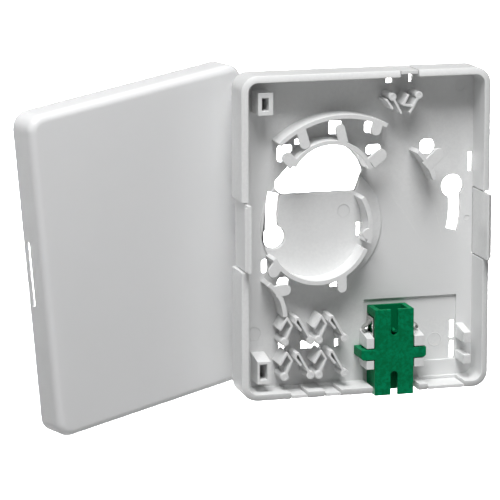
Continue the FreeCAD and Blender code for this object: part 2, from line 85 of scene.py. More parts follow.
class Group:
    """A shader node group under construction, with helpers to add and join nodes."""

    def __init__(self, name: str) -> None:
        """Start an empty group.

        Args:
            name: name of the node group.
        """
        self.tree = bpy.data.node_groups.new(name, "ShaderNodeTree")
        self.inputs = self.tree.nodes.new("NodeGroupInput")
        self.outputs = self.tree.nodes.new("NodeGroupOutput")

    def takes(self, name: str, kind: str, value: object = None) -> bpy.types.NodeSocket:
        """Add an input socket.

        Args:
            name: name of the socket.
            kind: socket type, such as NodeSocketFloat.
            value: value it starts with.

        Returns:
            The socket inside the group that gives the value.
        """
        socket = self.tree.interface.new_socket(name=name, in_out="INPUT", socket_type=kind)
        if value is not None:
            socket.default_value = value
        return self.inputs.outputs[name]

    def gives(self, name: str, kind: str, source: bpy.types.NodeSocket) -> None:
        """Add an output socket fed by a source socket.

        Args:
            name: name of the socket.
            kind: socket type.
            source: what it puts out.
        """
        self.tree.interface.new_socket(name=name, in_out="OUTPUT", socket_type=kind)
        self.tree.links.new(source, self.outputs.inputs[name])

    def node(self, kind: str, **settings: object) -> bpy.types.Node:
        """Add a node; keyword arguments are its settings.

        Args:
            kind: node type.
            settings: attributes of the node.

        Returns:
            The new node.
        """
        made = self.tree.nodes.new(kind)
        for key, value in settings.items():
            setattr(made, key, value)
        return made

    def join(self, source: bpy.types.NodeSocket, target: bpy.types.NodeSocket) -> None:
        """Link two sockets."""
        self.tree.links.new(source, target)

    def math(self, operation: str, a: object, b: object = 0.0, clamp: bool = False) -> bpy.types.NodeSocket:
        """Add a math node.

        Args:
            operation: operation name.
            a: first value or socket.
            b: second value or socket.
            clamp: whether the result is kept between 0 and 1.

        Returns:
            The result socket.
        """
        made = self.node("ShaderNodeMath", operation=operation, use_clamp=clamp)
        for socket, value in zip(made.inputs, (a, b)):
            if isinstance(value, bpy.types.NodeSocket):
                self.join(value, socket)
            else:
                socket.default_value = value
        return made.outputs[0]

    def ramp(self, source: bpy.types.NodeSocket, low: float, high: float) -> bpy.types.NodeSocket:
        """Map a range to 0..1 with a smooth step.

        Args:
            source: value to map.
            low: value that becomes 0.
            high: value that becomes 1.

        Returns:
            The result socket.
        """
        made = self.node("ShaderNodeMapRange", interpolation_type="SMOOTHSTEP", clamp=True)
        self.join(source, made.inputs["Value"])
        made.inputs["From Min"].default_value = low
        made.inputs["From Max"].default_value = high
        return made.outputs["Result"]

    def noise(
        self, vector: bpy.types.NodeSocket, scale: object, detail: float, rough: float
    ) -> bpy.types.NodeSocket:
        """Add a noise texture.

        Args:
            vector: coordinates.
            scale: scale as a number or socket.
            detail: octaves.
            rough: roughness of the octaves.

        Returns:
            The noise value socket.
        """
        made = self.node("ShaderNodeTexNoise")
        self.join(vector, made.inputs["Vector"])
        if isinstance(scale, bpy.types.NodeSocket):
            self.join(scale, made.inputs["Scale"])
        else:
            made.inputs["Scale"].default_value = scale
        made.inputs["Detail"].default_value = detail
        made.inputs["Roughness"].default_value = rough
        return made.outputs["Fac"]


def moulded_grain_group() -> bpy.types.NodeTree:
    """Fine spark-eroded mould texture: two octaves of cell noise over broad waviness, as a height.

    height = grain * cells(scale) + waviness * noise(scale / 60); mask = patches of slower noise.

    Returns:
        The node group.
    """
    group = Group("moulded_grain")
    scale = group.takes("Scale", "NodeSocketFloat", 2200.0)
    grain = group.takes("Grain", "NodeSocketFloat", 0.6)
    waviness = group.takes("Waviness", "NodeSocketFloat", 0.4)
    coords = group.node("ShaderNodeTexCoord").outputs["Object"]
    fine = group.noise(coords, scale, 2.0, 0.55)
    wave_scale = group.math("MULTIPLY", scale, 1.0 / 60.0)
    wave = group.noise(coords, wave_scale, 1.0, 0.4)
    patch_scale = group.math("MULTIPLY", scale, 1.0 / 110.0)
    patch = group.noise(coords, patch_scale, 3.0, 0.6)
    height = group.math("ADD", group.math("MULTIPLY", fine, grain), group.math("MULTIPLY", wave, waviness))
    group.gives("Height", "NodeSocketFloat", height)
    group.gives("Patches", "NodeSocketFloat", group.ramp(patch, 0.3, 0.7))
    return group.tree


def painted_light_group() -> bpy.types.NodeTree:
    """Masks for painted light: a painted highlight on convex edges, from how sharply the surface turns, and
    painted shade in corners and creases, from local ambient occlusion.

    edge = smoothstep(pointiness) * broken-up noise, the painted highlight; painted corner shade =
    smoothstep(1 - openness) * soft noise.

    Returns:
        The node group.
    """
    group = Group("painted_edge_light_corner_shade")
    breakup = group.takes("Breakup", "NodeSocketFloat", 900.0)
    reach = group.takes("Reach", "NodeSocketFloat", 0.0015)
    coords = group.node("ShaderNodeTexCoord").outputs["Object"]
    bend = group.node("ShaderNodeNewGeometry").outputs["Pointiness"]
    speckle = group.ramp(group.noise(coords, breakup, 4.0, 0.65), 0.35, 0.65)
    # Painted highlight: convex edges, broken up by noise.
    edge = group.math("MULTIPLY", group.ramp(bend, 0.505, 0.56), speckle, True)
    shade = group.node("ShaderNodeAmbientOcclusion", samples=4, only_local=True)
    group.join(reach, shade.inputs["Distance"])
    closed = group.math("SUBTRACT", 1.0, shade.outputs["AO"], True)
    soft = group.ramp(group.noise(coords, 260.0, 3.0, 0.6), 0.25, 0.75)
    # Painted shade: corners and creases that local ambient occlusion finds closed in.
    corner_shade = group.math("MULTIPLY", group.ramp(closed, 0.15, 0.75), soft, True)
    group.gives("EdgeHighlight", "NodeSocketFloat", edge)
    group.gives("CornerShade", "NodeSocketFloat", corner_shade)
    return group.tree


def fine_scratch_group() -> bpy.types.NodeTree:
    """Hairline scratches: thin bands where a stretched, turned noise crosses a level.

    mask = smoothstep(1 - |noise - 0.5| / width) over two directions, thinned by slow noise.

    Returns:
        The node group.
    """
    group = Group("fine_scratches")
    scale = group.takes("Scale", "NodeSocketFloat", 300.0)
    width = group.takes("Width", "NodeSocketFloat", 0.004)
    coords = group.node("ShaderNodeTexCoord").outputs["Object"]
    total = None
    for turn, stretch in ((0.5, (1.0, 1.0, 0.06)), (-0.9, (0.05, 1.0, 1.0))):
        mapping = group.node("ShaderNodeMapping")
        mapping.inputs["Rotation"].default_value = (0.2, turn, 0.1)
        mapping.inputs["Scale"].default_value = stretch
        group.join(coords, mapping.inputs["Vector"])
        field_value = group.noise(mapping.outputs["Vector"], scale, 1.0, 0.4)
        away = group.math("ABSOLUTE", group.math("SUBTRACT", field_value, 0.5))
        line = group.math("SUBTRACT", 1.0, group.math("DIVIDE", away, width), True)
        total = line if total is None else group.math("MAXIMUM", total, line)
    sparse = group.ramp(group.noise(coords, 90.0, 2.0, 0.5), 0.5, 0.62)
    group.gives("Mask", "NodeSocketFloat", group.math("MULTIPLY", total, sparse, True))
    return group.tree


def brushed_group() -> bpy.types.NodeTree:
    """Rolling lines of strip steel, running along Z: noise squeezed across the strip.

    Returns:
        The node group.
    """
    group = Group("rolled_lines")
    scale = group.takes("Scale", "NodeSocketFloat", 6000.0)
    coords = group.node("ShaderNodeTexCoord").outputs["Object"]
    mapping = group.node("ShaderNodeMapping")
    mapping.inputs["Scale"].default_value = (1.0, 1.0, 0.02)
    group.join(coords, mapping.inputs["Vector"])
    lines = group.noise(mapping.outputs["Vector"], scale, 3.0, 0.6)
    group.gives("Lines", "NodeSocketFloat", lines)
    return group.tree


@dataclass
class Effects:
    """The shared shader node groups, built once."""

    grain: bpy.types.NodeTree = field(default_factory=moulded_grain_group)
    # Masks for the painted edge highlight and the painted corner shade.
    painted_light: bpy.types.NodeTree = field(default_factory=painted_light_group)
    scratches: bpy.types.NodeTree = field(default_factory=fine_scratch_group)
    brushed: bpy.types.NodeTree = field(default_factory=brushed_group)


# --------------------------------------------------------------------------- finishes


@dataclass(frozen=True)
class Finish:
    """A moulded or rolled finish.

    Colours are linear. tint is the colour of patches. The edge-highlight colour is a lighter painted
    highlight laid on convex edges, and the corner-shade colour is a darker painted shade laid in corners and
    creases. Amounts are shares from 0 to 1.
    """

    name: str
    slot: str
    colour: tuple
    tint: tuple
    # Painted highlight colour for convex edges.
    edge_highlight: tuple
    # Painted shade colour for corners and creases.
    corner_shade: tuple
    roughness: float
    rough_spread: float
    noise: Noise = Noise.GRAIN
    grain_scale: float = 2600.0
    grain: float = 0.6
    waviness: float = 0.4
    bump: float = 0.12
    bump_depth: float = 0.00002
    # Share of the painted edge highlight.
    edge_highlight_amount: float = 0.5
    # Share of the painted corner shade.
    corner_shade_amount: float = 0.3
    scratch_amount: float = 0.0
    metallic: float = 0.0
    coat: float = 0.0
    coat_roughness: float = 0.1
    subsurface: float = 0.0
    ior: float = 1.5
    specular: float = 0.5

    def build(self, effects: Effects) -> bpy.types.Material:
        """Make the material.

        Args:
            effects: shared node groups.

        Returns:
            The material.
        """
        material = bpy.data.materials.new(self.name)
        material.use_nodes = True
        tree = material.node_tree
        shader = tree.nodes["Principled BSDF"]
        shader.inputs["Metallic"].default_value = self.metallic
        shader.inputs["Coat Weight"].default_value = self.coat
        shader.inputs["Coat Roughness"].default_value = self.coat_roughness
        shader.inputs["IOR"].default_value = self.ior
        shader.inputs["Specular IOR Level"].default_value = self.specular
        if self.subsurface:
            shader.inputs["Subsurface Weight"].default_value = self.subsurface
            shader.inputs["Subsurface Radius"].default_value = (0.9, 0.85, 0.8)
            shader.inputs["Subsurface Scale"].default_value = 0.0012

        grain = self._group(
            tree, effects.grain, Scale=self.grain_scale, Grain=self.grain, Waviness=self.waviness
        )
        # Masks for painted light: a highlight on convex edges and shade in corners and creases.
        painted_light = self._group(tree, effects.painted_light)
        colour = self._mix(tree, grain.outputs["Patches"], self.colour, self.tint)
        # Painted highlight: convex edges mixed towards a lighter colour.
        edge_highlight_mask = self._scaled(tree, painted_light.outputs["EdgeHighlight"], self.edge_highlight_amount)
        colour = self._mix(tree, edge_highlight_mask, colour, self.edge_highlight)
        # Painted shade: corners and creases mixed towards a darker colour.
        corner_shade = self._scaled(tree, painted_light.outputs["CornerShade"], self.corner_shade_amount)
        colour = self._mix(tree, corner_shade, colour, self.corner_shade)
        rough = self._spread(tree, grain.outputs["Patches"])
        height = grain.outputs["Height"]
        if self.noise is Noise.BRUSHED:
            height = self._group(tree, effects.brushed).outputs["Lines"]
            rough = self._spread(tree, height)
        if self.scratch_amount:
            scratches = self._group(tree, effects.scratches).outputs["Mask"]
            marks = self._scaled(tree, scratches, self.scratch_amount)
            rough = self._sum(tree, rough, marks)
        # The painted corner shade also raises the roughness a little.
        rough = self._sum(tree, rough, self._scaled(tree, painted_light.outputs["CornerShade"], 0.15 * self.corner_shade_amount))
        bump = tree.nodes.new("ShaderNodeBump")
        bump.inputs["Strength"].default_value = self.bump
        bump.inputs["Distance"].default_value = self.bump_depth
        tree.links.new(height, bump.inputs["Height"])
        tree.links.new(bump.outputs["Normal"], shader.inputs["Normal"])
        tree.links.new(colour, shader.inputs["Base Color"])
        tree.links.new(rough, shader.inputs["Roughness"])
        return material

    @staticmethod
    def _group(tree: bpy.types.NodeTree, group: bpy.types.NodeTree, **values: float) -> bpy.types.Node:
        """Place a node group and set its inputs by name."""
        node = tree.nodes.new("ShaderNodeGroup")
        node.node_tree = group
        for key, value in values.items():
            node.inputs[key].default_value = value
        return node

    @staticmethod
    def _mix(
        tree: bpy.types.NodeTree, factor: bpy.types.NodeSocket, a: object, b: tuple
    ) -> bpy.types.NodeSocket:
        """Mix colour a (socket or tuple) towards colour b by a mask."""
        node = tree.nodes.new("ShaderNodeMix")
        node.data_type = "RGBA"
        tree.links.new(factor, node.inputs[0])
        if isinstance(a, bpy.types.NodeSocket):
            tree.links.new(a, node.inputs[6])
        else:
            node.inputs[6].default_value = (*a, 1.0)
        node.inputs[7].default_value = (*b, 1.0)
        return node.outputs[2]

    @staticmethod
    def _scaled(
        tree: bpy.types.NodeTree, source: bpy.types.NodeSocket, amount: float
    ) -> bpy.types.NodeSocket:
        """Multiply a mask by an amount."""
        node = tree.nodes.new("ShaderNodeMath")
        node.operation = "MULTIPLY"
        tree.links.new(source, node.inputs[0])
        node.inputs[1].default_value = amount
        return node.outputs[0]

    @staticmethod
    def _sum(
        tree: bpy.types.NodeTree, a: bpy.types.NodeSocket, b: bpy.types.NodeSocket
    ) -> bpy.types.NodeSocket:
        """Add two masks, kept between 0 and 1."""
        node = tree.nodes.new("ShaderNodeMath")
        node.operation = "ADD"
        node.use_clamp = True
        tree.links.new(a, node.inputs[0])
        tree.links.new(b, node.inputs[1])
        return node.outputs[0]

    def _spread(self, tree: bpy.types.NodeTree, mask: bpy.types.NodeSocket) -> bpy.types.NodeSocket:
        """Roughness that varies by rough_spread over a mask."""
        node = tree.nodes.new("ShaderNodeMapRange")
        tree.links.new(mask, node.inputs["Value"])
        node.inputs["To Min"].default_value = self.roughness - self.rough_spread
        node.inputs["To Max"].default_value = self.roughness + self.rough_spread
        return node.outputs["Result"]


# In each finish, the edge-highlight colour is a painted highlight for convex edges and the corner-shade
# colour is a painted shade for corners and creases.
TRAY_WHITE = Finish(
    name="tray_white", slot="white_plastic", colour=(0.76, 0.765, 0.765), tint=(0.775, 0.78, 0.78),
    edge_highlight=(0.84, 0.845, 0.84), corner_shade=(0.62, 0.62, 0.605), roughness=0.42, rough_spread=0.05,
    grain=0.8, waviness=0.3, bump=0.16, subsurface=0.06,
)
COVER_WHITE = Finish(
    name="cover_white", slot="white_gloss", colour=(0.85, 0.855, 0.86), tint=(0.86, 0.865, 0.87),
    edge_highlight=(0.89, 0.895, 0.9), corner_shade=(0.76, 0.76, 0.75), roughness=0.32, rough_spread=0.03,
    grain=0.35, waviness=0.6, bump=0.08, subsurface=0.05, coat=0.1, coat_roughness=0.25,
    scratch_amount=0.03,
)
ADAPTER_GREEN = Finish(
    name="adapter_green", slot="green_plastic", colour=(0.0, 0.148, 0.052), tint=(0.0, 0.152, 0.054),
    edge_highlight=(0.0, 0.27, 0.115), corner_shade=(0.0, 0.135, 0.047), roughness=0.5, rough_spread=0.02,
    grain=0.4, waviness=0.05, bump=0.06, edge_highlight_amount=0.75, scratch_amount=0.0, specular=0.08,
)
LATCH_GREEN = Finish(
    name="latch_green", slot="latch_plastic", colour=(0.0, 0.105, 0.045), tint=(0.0, 0.115, 0.05),
    edge_highlight=(0.0, 0.2, 0.1), corner_shade=(0.0, 0.07, 0.035), roughness=0.45, rough_spread=0.04,
    bump=0.12, specular=0.25,
)
SLEEVE_CERAMIC = Finish(
    name="sleeve_ceramic", slot="ceramic", colour=(0.84, 0.83, 0.79), tint=(0.86, 0.85, 0.81),
    edge_highlight=(0.9, 0.89, 0.86), corner_shade=(0.7, 0.69, 0.66), roughness=0.14, rough_spread=0.03,
    grain=0.2, bump=0.05, coat=0.4, coat_roughness=0.06, ior=2.1,
)
CLIP_STEEL = Finish(
    name="clip_steel", slot="spring_steel", colour=(0.60, 0.60, 0.58), tint=(0.56, 0.56, 0.545),
    edge_highlight=(0.75, 0.75, 0.73), corner_shade=(0.42, 0.41, 0.39), roughness=0.30, rough_spread=0.08,
    noise=Noise.BRUSHED, bump=0.25, metallic=1.0, edge_highlight_amount=0.4,
)


# --------------------------------------------------------------------------- meshes


def finish_mesh(mesh: bpy.types.Mesh, sharp: float = CRISP_ANGLE) -> bpy.types.Mesh:
    """Smooth shading that stays crisp across edges sharper than an angle in degrees."""
    mesh.polygons.foreach_set("use_smooth", np.ones(len(mesh.polygons), bool))
    mesh.set_sharp_from_angle(angle=math.radians(sharp))
    mesh.update()
    return mesh


def grid_faces(rows: int, columns: int, close_rows: bool = False, close_columns: bool = False) -> np.ndarray:
    """Quads over a rows x columns grid of points, numbered row by row.

    Args:
        rows: number of rows of points.
        columns: number of points in a row.
        close_rows: join the last row to the first.
        close_columns: join the last column to the first.

    Returns:
        Array of quads, four indices each.
    """
    r = np.arange(rows if close_rows else rows - 1)
    c = np.arange(columns if close_columns else columns - 1)
    r0, c0 = (a.ravel() for a in np.meshgrid(r, c, indexing="ij"))
    r1, c1 = (r0 + 1) % rows, (c0 + 1) % columns
    return np.stack([r0 * columns + c0, r0 * columns + c1, r1 * columns + c1, r1 * columns + c0], axis=1)


def mesh_from(name: str, points: np.ndarray, faces: list) -> bpy.types.Mesh:
    """A mesh from points in millimetres and faces, with smooth shading."""
    mesh = bpy.data.meshes.new(name)
    mesh.from_pydata((np.asarray(points, float) * MM).tolist(), [], faces)
    mesh.validate()
    return finish_mesh(mesh)


def cad_arrays(node: str) -> tuple:
    """Points and triangles of a CAD node, with doubled points merged.

    Args:
        node: CAD node name.

    Returns:
        Points in metres and triangles as index triples.
    """
    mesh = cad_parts[node].data
    points = np.zeros(len(mesh.vertices) * 3, np.float32)
    mesh.vertices.foreach_get("co", points)
    mesh.calc_loop_triangles()
    triangles = np.zeros(len(mesh.loop_triangles) * 3, np.int32)
    mesh.loop_triangles.foreach_get("vertices", triangles)
    keys = np.round(points.reshape(-1, 3) * 1e6).astype(np.int64)
    _, first, index = np.unique(keys, axis=0, return_index=True, return_inverse=True)
    triangles = index.reshape(-1)[triangles].reshape(-1, 3)
    good = (triangles != np.roll(triangles, 1, axis=1)).all(axis=1)
    return points.reshape(-1, 3)[first], triangles[good]


def edge_weights(mesh: bpy.types.Mesh, sharp: float, hollow: float, flat_zones: tuple) -> np.ndarray:
    """How much of the bevel each edge gets.

    For an edge with direction e in its first face, and face normals n1 and n2, the angle is
    acos(n1 . n2) and the edge is convex where (n1 x n2) . e > 0.

    Args:
        mesh: closed mesh.
        sharp: smallest angle in degrees that is bevelled.
        hollow: weight of a concave edge.
        flat_zones: pairs of low and high y in metres; edges wholly inside one get none.

    Returns:
        One weight per edge.
    """
    loops = len(mesh.loops)
    loop_edge = np.zeros(loops, np.int32)
    loop_vertex = np.zeros(loops, np.int32)
    mesh.loops.foreach_get("edge_index", loop_edge)
    mesh.loops.foreach_get("vertex_index", loop_vertex)
    totals = np.zeros(len(mesh.polygons), np.int32)
    mesh.polygons.foreach_get("loop_total", totals)
    normals = np.zeros(len(mesh.polygons) * 3, np.float32)
    mesh.polygons.foreach_get("normal", normals)
    normals = normals.reshape(-1, 3)
    owner = np.repeat(np.arange(len(totals)), totals)
    edges = np.zeros(len(mesh.edges) * 2, np.int32)
    mesh.edges.foreach_get("vertices", edges)
    edges = edges.reshape(-1, 2)
    points = np.zeros(len(mesh.vertices) * 3, np.float32)
    mesh.vertices.foreach_get("co", points)
    points = points.reshape(-1, 3)
    order = np.argsort(loop_edge, kind="stable")
    counts = np.bincount(loop_edge, minlength=len(edges))
    starts = np.concatenate([[0], np.cumsum(counts)[:-1]])
    paired = counts == 2
    first = order[np.where(paired, starts, 0)]
    second = order[np.where(paired, starts + 1, 0)]
    n1, n2 = normals[owner[first]], normals[owner[second]]
    along = points[edges[:, 1]] - points[edges[:, 0]]
    along = np.where((loop_vertex[first] == edges[:, 0])[:, None], along, -along)
    angle = np.degrees(np.arccos(np.clip((n1 * n2).sum(1), -1, 1)))
    convex = (np.cross(n1, n2) * along).sum(1) > 0
    weight = np.where(paired & (angle > sharp), np.where(convex, 1.0, hollow), 0.0)
    y = points[edges][:, :, 1]
    for low, high in flat_zones:
        weight = np.where(((y > low) & (y < high)).all(1), 0.0, weight)
    return weight


def edges_at_height(mesh: bpy.types.Mesh, height: float) -> np.ndarray:
    """Which edges lie wholly at one height in metres, such as a parting plane."""
    edges = np.zeros(len(mesh.edges) * 2, np.int32)
    mesh.edges.foreach_get("vertices", edges)
    points = np.zeros(len(mesh.vertices) * 3, np.float32)
    mesh.vertices.foreach_get("co", points)
    return (np.abs(points[2::3][edges.reshape(-1, 2)] - height) < SAME_HEIGHT).all(axis=1)


def revolved(profile: np.ndarray, steps: int = 48) -> tuple:
    """A profile turned about the -Y axis: (radius cos a, -height, radius sin a).

    Args:
        profile: closed loop of (radius, height) pairs in millimetres, away from the axis.
        steps: points round the axis.

    Returns:
        Points and quads.
    """
    angle = np.linspace(0.0, 2.0 * np.pi, steps, endpoint=False)[:, None]
    radius, height = profile[None, :, 0], profile[None, :, 1]
    points = np.stack(np.broadcast_arrays(radius * np.cos(angle), -height, radius * np.sin(angle)), axis=2)
    return points.reshape(-1, 3), grid_faces(steps, len(profile), True, True)


def dome(radius: float, height: float, steps: int = 40, rings: int = 9) -> tuple:
    """A low dome on the -Y axis: height * (1 - (r / radius)^4)^(1/2), closed by a flat foot.

    Args:
        radius: foot radius in millimetres.
        height: height of the middle.
        steps: points round the axis.
        rings: rings from the foot to the middle.

    Returns:
        Points and faces. The middle and the foot are closed by fans.
    """
    share = np.sin(np.linspace(np.pi / 2.0, 0.0, rings, endpoint=False))
    angle = np.linspace(0.0, 2.0 * np.pi, steps, endpoint=False)
    r = radius * share[:, None]
    h = -height * np.sqrt(np.maximum(1.0 - share**4, 0.0))[:, None]
    grid = np.stack(np.broadcast_arrays(r * np.cos(angle), h, r * np.sin(angle)), axis=2).reshape(-1, 3)
    points = np.vstack([grid, [[0.0, -height, 0.0], [0.0, 0.0, 0.0]]])
    top, foot = len(grid), len(grid) + 1
    here = np.arange(steps)
    after = (here + 1) % steps
    last = (rings - 1) * steps
    fan = np.stack([last + here, last + after, np.full(steps, top)], axis=1)
    base = np.stack([after, here, np.full(steps, foot)], axis=1)
    return points, grid_faces(rings, steps, False, True).tolist() + fan.tolist() + base.tolist()


def joined(parts: list) -> tuple:
    """Several (points, faces) pairs as one.

    Args:
        parts: pairs of points and faces.

    Returns:
        All points and all faces.
    """
    points, faces, start = [], [], 0
    for some_points, some_faces in parts:
        rows = some_faces.tolist() if isinstance(some_faces, np.ndarray) else some_faces
        faces += [[index + start for index in face] for face in rows]
        points.append(np.asarray(some_points, float))
        start += len(some_points)
    return np.vstack(points), faces


def recalculated(mesh: bpy.types.Mesh) -> bpy.types.Mesh:
    """Turn all faces of a mesh outwards."""
    work = bmesh.new()
    work.from_mesh(mesh)
    bmesh.ops.recalc_face_normals(work, faces=work.faces)
    work.to_mesh(mesh)
    work.free()
    return mesh


@dataclass
class MouldedPiece:
    """A CAD node's own shape with the small edge radii of a real moulding."""

    node: str
    body: str
    finish: Finish
    radius: float = 0.18
    segments: int = 2
    hollow: float = 0.5
    flat_zones: tuple = ()
    split_height: float = 1.0

    def build(self, materials: dict) -> bpy.types.Object:
        """Merge the node's triangles, weight its edges and round them.

        Args:
            materials: materials by finish name.

        Returns:
            The piece, riding on its body.
        """
        points, triangles = cad_arrays(self.node)
        mesh = bpy.data.meshes.new(self.node + "_moulded")
        mesh.from_pydata(points.tolist(), [], triangles.tolist())
        work = bmesh.new()
        work.from_mesh(mesh)
        bmesh.ops.dissolve_limit(
            work, angle_limit=math.radians(FLAT_ANGLE), verts=work.verts, edges=work.edges,
            use_dissolve_boundaries=False,
        )
        work.to_mesh(mesh)
        work.free()
        finish_mesh(mesh)
        weights = edge_weights(mesh, BEVEL_ANGLE, self.hollow, self.flat_zones)
        weights[edges_at_height(mesh, self.split_height)] = 0.0
        attribute = mesh.attributes.new("bevel_weight_edge", "FLOAT", "EDGE")
        attribute.data.foreach_set("value", weights.astype(np.float32))
        piece = place(self.node + "_moulded", mesh, self.body, self.finish, materials, (self.node,))
        bevel = piece.modifiers.new("edge_radius", "BEVEL")
        bevel.limit_method = "WEIGHT"
        bevel.width = self.radius * MM
        bevel.segments = self.segments
        bevel.use_clamp_overlap = False
        bevel.harden_normals = True
        bevel.miter_outer = "MITER_ARC"
        return piece


def place(
    name: str, mesh: bpy.types.Mesh, body: str, finish: Finish, materials: dict, stands_for: tuple = ()
) -> bpy.types.Object:
    """Put a mesh into the scene as a piece that rides on a body.

    Args:
        name: piece name.
        mesh: its mesh, in metres in the shared frame.
        body: body that it moves with.
        finish: its finish.
        materials: materials by finish name.
        stands_for: CAD nodes that it replaces.

    Returns:
        The object.
    """
    piece = bpy.data.objects.new(name, mesh)
    bpy.context.scene.collection.objects.link(piece)
    mesh.materials.clear()
    mesh.materials.append(materials[finish.name])
    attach(piece, body)
    if stands_for:
        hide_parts(*stands_for)
    LOG.info("%s on %s: %d faces", name, body, len(mesh.polygons))
    return piece


# --------------------------------------------------------------------------- sub-assemblies


@dataclass
class WitnessRings:
    """The fine raised rings that ejector pins leave on the floor and on the clamp pins.

    Each mark is (x, z, ring radius, distance of its surface in front of the wall) in millimetres.
    A ring's section is a half ellipse: height = rise * sqrt(1 - (offset / half)^2).
    """

    half: float = 0.13
    rise: float = 0.07
    sunk: float = 0.02
    floor_marks: tuple = (
        (-4.9, 6.4, 2.1, 2.5), (37.3, 1.8, 1.0, 1.8), (-34.6, -32.6, 2.2, 1.8),
        (34.5, 45.3, 1.8, 1.8), (26.9, -38.4, 2.2, 1.0),
    )
    first_pins: tuple = ((-26.75, -45.6), (-18.15, -45.5))
    top_pins: tuple = ((9.0, 43.8), (17.8, 44.0))
    pitch: tuple = (11.45, 11.5)
    pin_ring: float = 0.72
    pin_end: float = 10.3

    def marks(self) -> list:
        """Every mark: the floor's, one per clamp pin and one per top pin."""
        pins = [
            (x + column * self.pitch[0], z + row * self.pitch[1])
            for x, z in self.first_pins for column in (0, 1) for row in (0, 1)
        ]
        ends = [(x, z, self.pin_ring, self.pin_end) for x, z in pins + list(self.top_pins)]
        return list(self.floor_marks) + ends

    def build(self, materials: dict) -> None:
        """Build all rings as one mesh."""
        turn = np.linspace(0.0, np.pi, 9)
        parts = []
        for x, z, ring, level in self.marks():
            arch = np.stack([ring + self.half * np.cos(turn), self.rise * np.sin(turn)], axis=1)
            foot = [[ring - self.half, -self.sunk], [ring + self.half, -self.sunk]]
            points, faces = revolved(np.vstack([arch, foot]))
            parts.append((points + (x, -level, z), faces))
        mesh = finish_mesh(recalculated(mesh_from("witness_rings", *joined(parts))))
        place("witness_rings", mesh, "base", TRAY_WHITE, materials)


@dataclass
class Tray:
    """The base tray with everything moulded to its floor."""

    radius: float = 0.2
    fine_radius: float = 0.14
    shell_hollow: float = 0.4
    shallow: tuple = ((-2.15, -1.6), (-1.05, -0.95))
    guides: tuple = (
        "outer_fibre_guide", "spool_wall_upper", "spool_wall_right", "spool_wall_lower",
        "fibre_guide_left", "fibre_guide_right",
    )
    clamps: tuple = ("cable_clamps_upper", "cable_clamps_lower", "top_entry_clamps")
    posts: tuple = (
        "cover_post_upper", "cover_post_lower",
        "adapter_posts_left", "adapter_posts_middle", "adapter_posts_right",
    )

    def build(self, materials: dict) -> None:
        """Build the shell, guides, clamps and posts."""
        shell = MouldedPiece("base_shell", "base", TRAY_WHITE, self.radius)
        shell.hollow = self.shell_hollow
        shell.flat_zones = tuple((low * MM, high * MM) for low, high in self.shallow)
        shell.build(materials)
        for node in self.guides + self.clamps:
            MouldedPiece(node, "base", TRAY_WHITE, self.fine_radius).build(materials)
        for node in self.posts:
            MouldedPiece(node, "base", TRAY_WHITE, self.radius).build(materials)
        WitnessRings().build(materials)


@dataclass
class SnapTabs:
    """The two springy tabs."""

    radius: float = 0.16

    def build(self, materials: dict) -> None:
        """Build both tabs."""
        for side in ("left", "right"):
            MouldedPiece(f"snap_tab_{side}", f"tab_{side}", TRAY_WHITE, self.radius).build(materials)


@dataclass
class BreakOuts:
    """The thin cable-entry panels."""

    radius: float = 0.12
    panels: tuple = (
        ("top_breakout", "breakout_top"),
        ("bottom_breakout_left", "breakout_bottom_left"),
        ("bottom_breakout_middle", "breakout_bottom_middle"),
        ("bottom_breakout_right", "breakout_bottom_right"),
    )

    def build(self, materials: dict) -> None:
        """Build each panel."""
        for node, body in self.panels:
            MouldedPiece(node, body, TRAY_WHITE, self.radius).build(materials)


